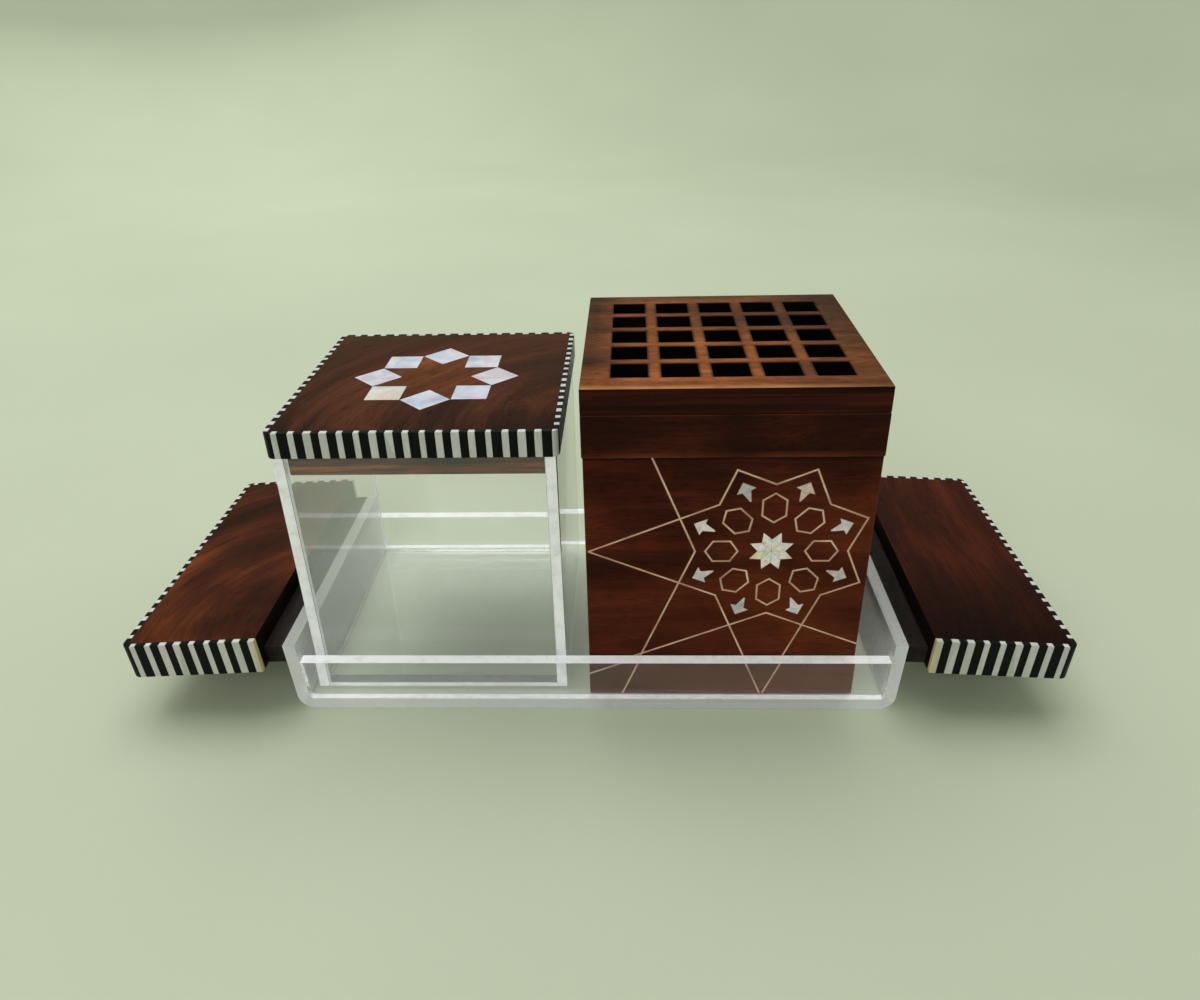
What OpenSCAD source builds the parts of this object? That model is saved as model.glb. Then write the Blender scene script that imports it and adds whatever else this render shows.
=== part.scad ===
// Incense set: an inlaid wooden box with a grille lid and a clear canister
// with an inlaid lid, side by side on a clear tray with wooden handles.
// Origin: centre of the footprint, on the surface the tray stands on.
// +X to the right, +Y to the back, +Z up. Millimetres.

/* [Tray] */
// Outside length of the tray across the rims of its end walls
tray_length = 300; // [300:1:330]
// Outside depth of the tray, front to back
tray_depth = 150; // [148:1:170]
// Thickness of the clear sheet that the tray is bent from
tray_sheet = 6; // [4:0.5:6]
// Outside radius of the bends between the floor and the end walls
bend_radius = 8; // [7:0.5:8]
// Height of the rims of the end walls
end_wall_height = 39; // [34:0.5:45]
// Height of the front and back strips
strip_height = 28.5; // [15:0.5:29]
// Outward lean of the end walls and the handles, in degrees
lean = 3.15; // [0:0.05:5]

/* [Handles] */
// Width of a handle board
handle_width = 65.4; // [50:0.2:80]
// Length of a handle board, front to back
handle_length = 165; // [160:1:190]
// Thickness of a handle board
handle_thickness = 18.8; // [15:0.1:24]
// Step from the rim of the end wall up to the top of the board
handle_step = 9.3; // [6:0.1:12]
// Width of the black tongue that shows between wall and board
tongue_width = 9; // [5:0.5:15]
// Depth of the rebate under the board that takes the tongue
tongue_rebate = 8; // [4:0.5:15]

/* [Striped edging] */
// Thickness of the edging blocks
edging_thickness = 2.6; // [2:0.1:5]
// Length of one pair of bone and ebony blocks, before fitting to a side
edging_pitch = 7.2; // [5:0.1:10]
// Share of a pair that is bone
bone_share = 0.43; // [0.3:0.01:0.7]
// How far a hand-made cut between two blocks may be out of place
hand_play = 0.3; // [0:0.05:0.5]
// Plan radius of the edged corners
corner_radius = 4; // [1:0.5:5]

/* [Canister] */
// Outside width and depth of the clear canister
canister_width = 126.5; // [100:0.5:126.5]
// Height of the canister without its lid
canister_height = 129; // [80:1:160]
// Thickness of the clear walls of the canister
canister_sheet = 5; // [3:0.5:6]
// Centre of the canister, left of the middle of the tray
canister_offset = 76.6; // [76.5:0.1:76.8]
// Width and depth of the canister lid
canister_lid_width = 130; // [128:0.5:132]
// Thickness of the canister lid
canister_lid_thickness = 12.5; // [8:0.5:20]
// Height of the plug under the lid
plug_height = 11; // [4:0.5:15]
// Gap between the plug and each wall
plug_gap = 0.5; // [0.3:0.1:1]

/* [Canister lid star] */
// Distance from the centre of the lid to the centre of each pearl square
pearl_ring = 29; // [20:0.5:40]
// Half of the diagonal of a pearl square
pearl_half_diagonal = 11.8; // [6:0.1:11.9]
// Depth of every inlay
inlay_depth = 1.2; // [0.6:0.1:2]

/* [Box] */
// Outside width and depth of the box body
box_width = 129; // [120:0.5:130]
// Height of the box body below the seam
box_height = 130; // [110:1:160]
// Thickness of the box walls
box_wall = 9; // [7:0.5:11]
// Thickness of the box floor
box_floor_thickness = 8; // [5:0.5:12]
// Centre of the box, right of the middle of the tray
box_offset_x = 62.9; // [60:0.1:68]
// Centre of the box, in front of the middle of the tray
box_offset_y = 3.5; // [0:0.1:4]
// Overhang of the box lid on each side
lid_overhang = 0.5; // [0.3:0.1:3]
// Height of the box lid
box_lid_height = 32; // [28:0.5:45]
// Thickness of the liner strips that locate the lid
liner_thickness = 4; // [3:0.5:6]
// Height of the liner above the seam
liner_rise = 6; // [3:0.5:12]
// Depth of the liner below the seam
liner_drop = 20; // [10:1:30]

/* [Grille] */
// Holes along each side of the grille
grille_holes = 5; // [3:1:5]
// Side of a square hole
hole_side = 16; // [8:0.5:16]
// Width of the bars between the holes
bar_width = 6; // [3:0.5:6]
// Thickness of the grille board
grille_thickness = 12; // [6:0.5:14]

/* [Ember cup] */
// Side of the corner posts under the heat shelf
post_side = 10; // [8:0.5:14]
// Height of the heat shelf's underside above the tray floor
shelf_height = 90; // [60:1:95]
// Thickness of the heat shelf
shelf_thickness = 1.5; // [1:0.5:3]
// Outside diameter of the cup just under its flange
cup_diameter = 70; // [50:1:80]
// Depth of the cup under its flange
cup_depth = 32; // [20:1:40]
// Thickness of the metal of the cup
cup_metal = 1.5; // [1:0.1:3]
// Width of the flange of the cup
cup_flange = 7; // [4:0.5:8]

/* [Front inlay] */
// Centre of the star, from the left edge of the front
star_x = 84.5; // [80:0.5:95]
// Centre of the star, from the bottom edge of the front
star_z = 82; // [75:0.5:84]
// Distance from the centre of the star to each of its eight lines
star_reach = 31.9; // [25:0.1:32.5]
// Width of the bone stringing
string_width = 0.8; // [0.6:0.1:2]
// Distance from the centre of the star to the middle of each hexagon
hexagon_ring = 22.6; // [20:0.1:24]
// Distance from the centre of the star to the tip of each pearl dart
dart_reach = 38.3; // [36:0.1:40]
// Radius of the points of the small pearl star
pearl_star_radius = 10.5; // [6:0.5:12]
// Radius of the notches of the small pearl star
pearl_star_notch = 6.3; // [4:0.1:7]
// Glue line between the eight kites of the small pearl star
pearl_gap = 0.15; // [0.1:0.05:0.3]

/* [Hidden] */
$fn = 96;
eps = 0.01;
SIDES = 8;
STEP = 360 / SIDES;
// Turns the number of a cut into an uneven step, the same every time
HAND_ANGLE = 137.5;

// Tray: the bend centres, and the wall from a bend's centre up to its rim
BEND_STEPS = 16;
inner_radius = bend_radius - tray_sheet;
wall_rise = (end_wall_height - bend_radius + bend_radius * sin(lean)) / cos(lean);
bend_x = tray_length / 2 - bend_radius * cos(lean) - wall_rise * sin(lean);
strip_sheet = tray_sheet;

// Handles, in the frame of a leaning wall
board_inner = bend_radius + tongue_width;
board_top = wall_rise + handle_step;
board_bottom = board_top - handle_thickness;
tongue_thickness = wall_rise - board_bottom;

// Canister and its lid
canister_x = -canister_offset;
canister_top = tray_sheet + canister_height;
canister_mouth = canister_width - 2 * canister_sheet;
plug_width = canister_mouth - 2 * plug_gap;

// Box and its lid
box_x = box_offset_x;
box_y = -box_offset_y;
seam_z = tray_sheet + box_height;
box_inner = box_width - 2 * box_wall;
liner_inner = box_inner - 2 * liner_thickness;
box_lid_width = box_width + 2 * lid_overhang;
rail_height = box_lid_height - grille_thickness;
hole_pitch = hole_side + bar_width;
post_bottom = tray_sheet + box_floor_thickness;
shelf_z = tray_sheet + shelf_height;
shelf_width = liner_inner - 1;
shelf_hole = cup_diameter + 2;
cup_z = shelf_z + shelf_thickness;
cup_base = 0.7 * cup_diameter;

// Front inlay: the lines that run on past the tips of the star. Each is the number
// of the line, its clockwise (-1) or anticlockwise (1) end, and how far it runs
LONG_TIP = tan(67.5);
PANEL_EDGE = 6;
LONG_LINES = [
    [2, 1, LONG_TIP], [3, 1, PANEL_EDGE], [4, -1, PANEL_EDGE], [4, 1, PANEL_EDGE],
    [5, -1, LONG_TIP], [5, 1, PANEL_EDGE], [6, -1, PANEL_EDGE], [7, -1, PANEL_EDGE]
];
// Hexagon: half length and half width of its centre line, and its shoulder
hex_length = 7.4;
hex_width = 5.3;
hex_shoulder = 3.9;
// Dart: how far the barbs, the waist and the end of the tail lie behind its tip, and
// its half width at each of them
BARB = [4.6, 4.5];
WAIST = [4.9, 2];
TAIL = [10.3, 0.3];

WALNUT = "#5a2f1c";
WALNUT_DARK = "#47241a";
WALNUT_LIGHT = "#7a4526";
STAR_WOOD = "#94501f";
BONE = "#e9e2cf";
EBONY = "#191513";
PEARL = "#e4e9e4";
CLEAR = [0.85, 0.92, 0.92, 0.45];
BRASS = "#8f7440";

// ---------- shared shapes ----------

// Rectangle from (0, 0) to (w, d) with its four corners rounded
module rounded_rectangle(w, d, r) {
    translate([r, 0]) square([w - 2 * r, d]);
    translate([0, r]) square([w, d - 2 * r]);
    for (x = [r, w - r], y = [r, d - r]) translate([x, y]) circle(r);
}

// Cut number k along a side: each pair is an ebony block and then a bone block. The
// blocks are cut by hand, so each cut between the two ends is a little out of place.
function cut(k, pairs, pitch) =
    let (even = floor(k / 2) * pitch + (k % 2) * pitch * (1 - bone_share),
        at_an_end = k == 0 || k == 2 * pairs)
    even + (at_an_end ? 0 : hand_play * sin(k * HAND_ANGLE));

// Stripes of one colour along a side of the given length, starting at 0
module stripes(length, bone) {
    pairs = round(length / edging_pitch);
    pitch = length / pairs;
    for (i = [0 : pairs - 1]) {
        first = 2 * i + (bone ? 1 : 0);
        start = cut(first, pairs, pitch);
        width = cut(first + 1, pairs, pitch) - start;
        translate([start, -eps]) square([width, edging_thickness + eps]);
    }
}

// One side's stripes, turned onto the left and the right side of a board
module side_stripes(w, d, bone) {
    t = edging_thickness;
    translate([0, d - t]) rotate(-90) stripes(d - 2 * t, bone);
    translate([w, t]) rotate(90) stripes(d - 2 * t, bone);
}

// The front and back stripes of a board, at full width
module end_stripes(w, d, bone) {
    stripes(w, bone);
    translate([w, d]) rotate(180) stripes(w, bone);
}

// Regular star with alternating outer and inner points
function star_points(outer, inner) =
    [for (i = [0 : 2 * SIDES - 1])
        let (a = (i + 1) * STEP / 2, r = i % 2 == 0 ? outer : inner)
        [r * cos(a), r * sin(a)]];

// ---------- tray ----------

// Frame of a leaning end wall: X outward, Z up the wall, from the bend's centre
module on_wall(side) {
    scale_x = side > 0 ? 0 : 1;
    mirror([scale_x, 0, 0])
        translate([bend_x, 0, bend_radius])
            rotate([0, lean, 0])
                children();
}

// One face of the bent sheet on the right-hand side, seen from the front: the arc
// of the bend at radius r, then the wall up to the height z
function bend_and_wall(r, z) = concat(
    [for (i = [0 : BEND_STEPS])
        let (a = -90 + i * (90 - lean) / BEND_STEPS)
        [bend_x + r * cos(a), bend_radius + r * sin(a)]],
    [[bend_x + r / cos(lean) + (z - bend_radius) * tan(lean), z]]);

// Closed outline from its right-hand half and the mirror image of that
function both_sides(half) = concat(half,
    [for (i = [len(half) - 1 : -1 : 0]) [-half[i][0], half[i][1]]]);

module channel_profile() {
    difference() {
        polygon(both_sides(bend_and_wall(bend_radius, end_wall_height)));
        polygon(both_sides(bend_and_wall(inner_radius, end_wall_height + 1)));
    }
}

// The space inside the bent sheet, up to the top of the strips
module strip_profile() {
    polygon(both_sides(bend_and_wall(inner_radius, strip_height)));
}

module stand_up(y, depth) {
    translate([0, y + depth, 0]) rotate([90, 0, 0]) linear_extrude(depth) children();
}

module tray_channel() {
    color(CLEAR) stand_up(-tray_depth / 2, tray_depth) channel_profile();
}

module tray_front_strip() {
    color(CLEAR) stand_up(-tray_depth / 2, strip_sheet) strip_profile();
}

module tray_back_strip() {
    color(CLEAR) stand_up(tray_depth / 2 - strip_sheet, strip_sheet) strip_profile();
}

// ---------- handles ----------

// Places a plan outline of the handle: X from the inner edge outward
module handle_layer() {
    translate([board_inner, -handle_length / 2, board_bottom])
        linear_extrude(handle_thickness) children();
}

module handle_outline() {
    r = corner_radius;
    square([handle_width - r, handle_length]);
    translate([handle_width - r, r]) square([r, handle_length - 2 * r]);
    for (y = [r, handle_length - r]) translate([handle_width - r, y]) circle(r);
}

// The part of the outline that the edging blocks take: front, back and outer side
module handle_rim() {
    t = edging_thickness;
    difference() {
        handle_outline();
        translate([-t, t]) square([handle_width, handle_length - 2 * t]);
    }
}

// Stripes run outward from the inner edge, so that a bone block starts each row
module handle_stripes(bone) {
    t = edging_thickness;
    row = handle_width;
    intersection() {
        handle_rim();
        union() {
            translate([row, 0]) mirror([1, 0]) stripes(row, bone);
            translate([row, handle_length]) rotate(180) stripes(row, bone);
            translate([row, t]) rotate(90) stripes(handle_length - 2 * t, bone);
        }
    }
}

module handle_board(side) {
    t = edging_thickness;
    color(WALNUT) on_wall(side) difference() {
        translate([board_inner, -handle_length / 2 + t, board_bottom])
            cube([handle_width - t, handle_length - 2 * t, handle_thickness]);
        translate([board_inner - eps, -tray_depth / 2, board_bottom - eps])
            cube([tongue_rebate + eps, tray_depth, tongue_thickness + eps]);
    }
}

module handle_tongue(side) {
    color(EBONY) on_wall(side)
        translate([bend_radius, -tray_depth / 2, board_bottom])
            cube([tongue_width + tongue_rebate, tray_depth, tongue_thickness]);
}

module handle_blocks(side, bone) {
    color(bone ? BONE : EBONY) on_wall(side) handle_layer() handle_stripes(bone);
}

module handle_board_left() { handle_board(-1); }
module handle_board_right() { handle_board(1); }
module handle_tongue_left() { handle_tongue(-1); }
module handle_tongue_right() { handle_tongue(1); }
module handle_bone_blocks_left() { handle_blocks(-1, true); }
module handle_bone_blocks_right() { handle_blocks(1, true); }
module handle_ebony_blocks_left() { handle_blocks(-1, false); }
module handle_ebony_blocks_right() { handle_blocks(1, false); }

// ---------- canister ----------

module canister_floor() {
    s = canister_mouth;
    color(CLEAR) translate([canister_x - s / 2, -s / 2, tray_sheet])
        cube([s, s, canister_sheet]);
}

// The side walls run the full depth, and the other two stand between them
module canister_cross_wall(y) {
    color(CLEAR) translate([canister_x - canister_mouth / 2, y, tray_sheet])
        cube([canister_mouth, canister_sheet, canister_height]);
}

module canister_side_wall(x) {
    color(CLEAR) translate([canister_x + x, -canister_width / 2, tray_sheet])
        cube([canister_sheet, canister_width, canister_height]);
}

module canister_front_wall() { canister_cross_wall(-canister_width / 2); }
module canister_back_wall() { canister_cross_wall(canister_mouth / 2); }
module canister_left_wall() { canister_side_wall(-canister_width / 2); }
module canister_right_wall() { canister_side_wall(canister_mouth / 2); }

// ---------- canister lid ----------

module on_canister_lid(z) {
    translate([canister_x, 0, canister_top + z]) children();
}

module lid_corner() {
    half = canister_lid_width / 2;
    translate([-half, -half]) children();
}

module pearl_squares_outline() {
    side = pearl_half_diagonal * sqrt(2);
    for (i = [0 : SIDES - 1])
        rotate(i * STEP) translate([pearl_ring, 0]) rotate(45) square(side, center = true);
}

// The wood star that the pearl squares enclose. Its pocket is a hair larger, so
// that it opens into the pockets of the squares.
module star_veneer_outline(play = 0) {
    notch = pearl_ring - pearl_half_diagonal + play;
    tip = notch / (cos(STEP / 2) - sin(STEP / 2));
    polygon(star_points(tip, notch));
}

module lid_stripes(bone) {
    w = canister_lid_width;
    t = edging_thickness;
    intersection() {
        difference() {
            rounded_rectangle(w, w, corner_radius);
            translate([t, t]) square(w - 2 * t);
        }
        union() {
            end_stripes(w, w, bone);
            side_stripes(w, w, bone);
        }
    }
}

module canister_lid_board() {
    core = canister_lid_width - 2 * edging_thickness;
    color(WALNUT_DARK) on_canister_lid(0) difference() {
        translate([-core / 2, -core / 2, 0]) cube([core, core, canister_lid_thickness]);
        translate([0, 0, canister_lid_thickness - inlay_depth]) {
            linear_extrude(2 * inlay_depth) pearl_squares_outline();
            linear_extrude(2 * inlay_depth) star_veneer_outline(5 * eps);
        }
    }
}

module canister_lid_plug() {
    color(WALNUT_LIGHT) on_canister_lid(-plug_height)
        translate([-plug_width / 2, -plug_width / 2, 0])
            cube([plug_width, plug_width, plug_height]);
}

module canister_lid_blocks(bone) {
    color(bone ? BONE : EBONY) on_canister_lid(0)
        linear_extrude(canister_lid_thickness) lid_corner() lid_stripes(bone);
}

module canister_lid_bone_blocks() { canister_lid_blocks(true); }
module canister_lid_ebony_blocks() { canister_lid_blocks(false); }

module canister_lid_pearl_squares() {
    color(PEARL) on_canister_lid(canister_lid_thickness - inlay_depth)
        linear_extrude(inlay_depth) pearl_squares_outline();
}

module canister_lid_star_veneer() {
    color(STAR_WOOD) on_canister_lid(canister_lid_thickness - inlay_depth)
        linear_extrude(inlay_depth) star_veneer_outline();
}

// ---------- front inlay of the box, in the plane of the front wall ----------

// Puts a drawing of the front, from its lower left corner, into the front wall
module in_front_wall(depth) {
    translate([box_x - box_width / 2, box_y - box_width / 2 + depth, tray_sheet])
        rotate([90, 0, 0]) linear_extrude(depth) children();
}

module at_star() {
    translate([star_x, star_z]) children();
}

// Star whose edges all lie at one distance from its centre
module even_star(reach) {
    polygon(star_points(reach / cos(45), reach / cos(STEP / 2)));
}

// A line that runs on from a tip of the star, a hair narrower than the star's own
module long_line(line) {
    width = string_width - 2 * eps;
    start = star_reach - string_width;
    rotate((line[0] + 0.5) * STEP) mirror([0, line[1] < 0 ? 1 : 0])
        translate([star_reach - width / 2, start])
            square([width, star_reach * line[2] - start]);
}

module star_and_lines() {
    at_star() {
        difference() {
            even_star(star_reach + string_width / 2);
            even_star(star_reach - string_width / 2);
        }
        for (line = LONG_LINES) long_line(line);
    }
}

module stringing_outline() {
    intersection() {
        square([box_width, box_height]);
        star_and_lines();
    }
}

// Long hexagon around its centre line, grown by d on every side
function hexagon_points(d) =
    let (slope = hex_length - hex_shoulder,
        tip = hex_length + d * sqrt(hex_width * hex_width + slope * slope) / hex_width,
        half = hex_width + d,
        shoulder = tip - half * slope / hex_width)
    [[tip, 0], [shoulder, half], [-shoulder, half],
        [-tip, 0], [-shoulder, -half], [shoulder, -half]];

module hexagons_outline() {
    at_star() for (i = [0 : SIDES - 1]) rotate(i * STEP) translate([hexagon_ring, 0])
        difference() {
            polygon(hexagon_points(string_width / 2));
            polygon(hexagon_points(-string_width / 2));
        }
}

module pearl_star_outline() {
    at_star() polygon(star_points(pearl_star_radius, pearl_star_notch));
}

// Kite that points along X: from the star's centre out to one of its points, between
// two notches, with half a glue line left along each of its inner sides
module pearl_kite() {
    half_gap = pearl_gap / 2;
    a = STEP / 2 - asin(half_gap / pearl_star_notch);
    side = pearl_star_notch * [cos(a), sin(a)];
    polygon([[half_gap / sin(STEP / 2), 0], [side[0], -side[1]], [pearl_star_radius, 0], side]);
}

module pearl_kites_outline() {
    at_star() for (i = [0 : SIDES - 1]) rotate((i + 0.5) * STEP) pearl_kite();
}

// Arrow head that points outward, with a short tail
module dart() {
    side = [for (p = [BARB, WAIST, TAIL]) [dart_reach - p[0], p[1]]];
    other = [for (i = [2 : -1 : 0]) [side[i][0], -side[i][1]]];
    polygon(concat([[dart_reach, 0]], side, other));
}

module darts_outline() {
    at_star() for (i = [0 : SIDES - 1]) rotate((i + 0.5) * STEP) dart();
}

// ---------- box ----------

// Box from the middle of the wooden box, at a height
module in_box(x, y, z, size) {
    translate([box_x + x, box_y + y, z]) cube(size);
}

module box_floor() {
    s = box_inner;
    color(WALNUT_DARK) in_box(-s / 2, -s / 2, tray_sheet, [s, s, box_floor_thickness]);
}

module box_front_wall() {
    color(WALNUT) difference() {
        in_box(-box_width / 2, -box_width / 2, tray_sheet, [box_width, box_wall, box_height]);
        translate([0, -eps, 0]) in_front_wall(inlay_depth + eps) {
            star_and_lines();
            hexagons_outline();
            pearl_star_outline();
            darts_outline();
        }
    }
}

module box_back_wall() {
    color(WALNUT)
        in_box(-box_width / 2, box_inner / 2, tray_sheet, [box_width, box_wall, box_height]);
}

module box_side_wall(x) {
    color(WALNUT) in_box(x, -box_inner / 2, tray_sheet, [box_wall, box_inner, box_height]);
}

module box_left_wall() { box_side_wall(-box_width / 2); }
module box_right_wall() { box_side_wall(box_inner / 2); }

module box_front_stringing() { color(BONE) in_front_wall(inlay_depth) stringing_outline(); }
module box_front_hexagons() { color(BONE) in_front_wall(inlay_depth) hexagons_outline(); }
module box_front_pearl_star() { color(PEARL) in_front_wall(inlay_depth) pearl_kites_outline(); }
module box_front_pearl_darts() { color(PEARL) in_front_wall(inlay_depth) darts_outline(); }

// Liner strips: two at full width, two between them, standing above the seam
module liner_cross(y) {
    color(WALNUT_LIGHT) in_box(-box_inner / 2, y, seam_z - liner_drop,
        [box_inner, liner_thickness, liner_drop + liner_rise]);
}

module liner_side(x) {
    color(WALNUT_LIGHT) in_box(x, -liner_inner / 2, seam_z - liner_drop,
        [liner_thickness, liner_inner, liner_drop + liner_rise]);
}

module box_liner_front() { liner_cross(-box_inner / 2); }
module box_liner_back() { liner_cross(liner_inner / 2); }
module box_liner_left() { liner_side(-box_inner / 2); }
module box_liner_right() { liner_side(liner_inner / 2); }

module box_corner_posts() {
    near = box_inner / 2 - post_side;
    for (x = [-box_inner / 2, near], y = [-box_inner / 2, near])
        color(WALNUT_LIGHT)
            in_box(x, y, post_bottom, [post_side, post_side, shelf_z - post_bottom]);
}

module box_heat_shelf() {
    color(BRASS) difference() {
        in_box(-shelf_width / 2, -shelf_width / 2, shelf_z,
            [shelf_width, shelf_width, shelf_thickness]);
        translate([box_x, box_y, shelf_z - 1])
            cylinder(d = shelf_hole, h = shelf_thickness + 2);
    }
}

// Turned cup: a flange that rests on the shelf, and a bowl that narrows downward
module ember_cup() {
    top = cup_diameter / 2;
    base = cup_base / 2;
    m = cup_metal;
    color(BRASS) translate([box_x, box_y, cup_z]) rotate_extrude()
        polygon([
            [0, -cup_depth], [base, -cup_depth], [top, 0], [top + cup_flange, 0],
            [top + cup_flange, m], [top - m, m], [base - m, -cup_depth + m], [0, -cup_depth + m]
        ]);
}

// ---------- box lid ----------

module box_lid_grille_board() {
    w = box_lid_width;
    z = seam_z + rail_height;
    color(WALNUT_LIGHT) difference() {
        in_box(-w / 2, -w / 2, z, [w, w, grille_thickness]);
        for (i = [0 : grille_holes - 1], j = [0 : grille_holes - 1]) {
            x = (i - (grille_holes - 1) / 2) * hole_pitch - hole_side / 2;
            y = (j - (grille_holes - 1) / 2) * hole_pitch - hole_side / 2;
            in_box(x, y, z - 1, [hole_side, hole_side, grille_thickness + 2]);
        }
    }
}

// Front and back rails run the full width, and the side rails stand between them
module lid_cross_rail(y) {
    color(WALNUT)
        in_box(-box_lid_width / 2, y, seam_z, [box_lid_width, box_wall, rail_height]);
}

module lid_side_rail(x) {
    inner = box_lid_width - 2 * box_wall;
    color(WALNUT) in_box(x, -inner / 2, seam_z, [box_wall, inner, rail_height]);
}

module box_lid_front_rail() { lid_cross_rail(-box_lid_width / 2); }
module box_lid_back_rail() { lid_cross_rail(box_lid_width / 2 - box_wall); }
module box_lid_left_rail() { lid_side_rail(-box_lid_width / 2); }
module box_lid_right_rail() { lid_side_rail(box_lid_width / 2 - box_wall); }

// ---------- output ----------

tray_channel();
tray_front_strip();
tray_back_strip();
handle_board_left();
handle_board_right();
handle_tongue_left();
handle_tongue_right();
handle_bone_blocks_left();
handle_bone_blocks_right();
handle_ebony_blocks_left();
handle_ebony_blocks_right();
canister_floor();
canister_front_wall();
canister_back_wall();
canister_left_wall();
canister_right_wall();
canister_lid_board();
canister_lid_plug();
canister_lid_bone_blocks();
canister_lid_ebony_blocks();
canister_lid_pearl_squares();
canister_lid_star_veneer();
box_floor();
box_front_wall();
box_back_wall();
box_left_wall();
box_right_wall();
box_front_stringing();
box_front_hexagons();
box_front_pearl_star();
box_front_pearl_darts();
box_liner_front();
box_liner_back();
box_liner_left();
box_liner_right();
box_corner_posts();
box_heat_shelf();
ember_cup();
box_lid_grille_board();
box_lid_front_rail();
box_lid_back_rail();
box_lid_left_rail();
box_lid_right_rail();
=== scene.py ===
import math

import bmesh
import bpy
from mathutils import Matrix, Vector


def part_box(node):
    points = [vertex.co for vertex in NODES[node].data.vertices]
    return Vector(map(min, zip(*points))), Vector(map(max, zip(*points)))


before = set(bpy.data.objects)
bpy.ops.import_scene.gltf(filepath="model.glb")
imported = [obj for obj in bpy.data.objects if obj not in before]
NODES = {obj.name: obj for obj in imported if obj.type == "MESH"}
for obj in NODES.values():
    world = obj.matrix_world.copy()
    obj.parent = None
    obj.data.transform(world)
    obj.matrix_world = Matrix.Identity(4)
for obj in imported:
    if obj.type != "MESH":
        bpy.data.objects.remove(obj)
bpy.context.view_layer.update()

MM = 0.001
SIDES = ("front", "back", "left", "right")


# ---------- camera ----------

CAMERA_AT = (0.0202, -0.4140, 0.3098)
CAMERA_PITCH = 0.5120       # radians below the horizon
CAMERA_YAW = -0.0421        # radians from +Y towards +X
CAMERA_ROLL = -0.0263       # radians
CAMERA_LENS = 26.91         # mm
SENSOR_WIDTH = 36           # mm
NEAREST_SEEN = 10 * MM


def make_camera():
    """Stands the camera where the photograph was taken from."""
    data = bpy.data.cameras.new("camera")
    data.lens = CAMERA_LENS
    data.sensor_width = SENSOR_WIDTH
    data.clip_start = NEAREST_SEEN
    forward = Vector((
        math.sin(CAMERA_YAW) * math.cos(CAMERA_PITCH),
        math.cos(CAMERA_YAW) * math.cos(CAMERA_PITCH),
        -math.sin(CAMERA_PITCH)))
    level = Vector((math.cos(CAMERA_YAW), -math.sin(CAMERA_YAW), 0))
    upward = level.cross(forward)
    right = math.cos(CAMERA_ROLL) * level + math.sin(CAMERA_ROLL) * upward
    up = math.cos(CAMERA_ROLL) * upward - math.sin(CAMERA_ROLL) * level
    turn = Matrix((right, up, -forward)).transposed().to_4x4()
    camera = bpy.data.objects.new("camera", data)
    camera.matrix_world = Matrix.Translation(CAMERA_AT) @ turn
    bpy.context.scene.collection.objects.link(camera)
    bpy.context.scene.camera = camera


# ---------- node trees ----------

WEAR_AND_HIGHLIGHT_BAND = 1.1 * MM        # how wide the band of rubbed wear and painted highlight along an edge is


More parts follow.
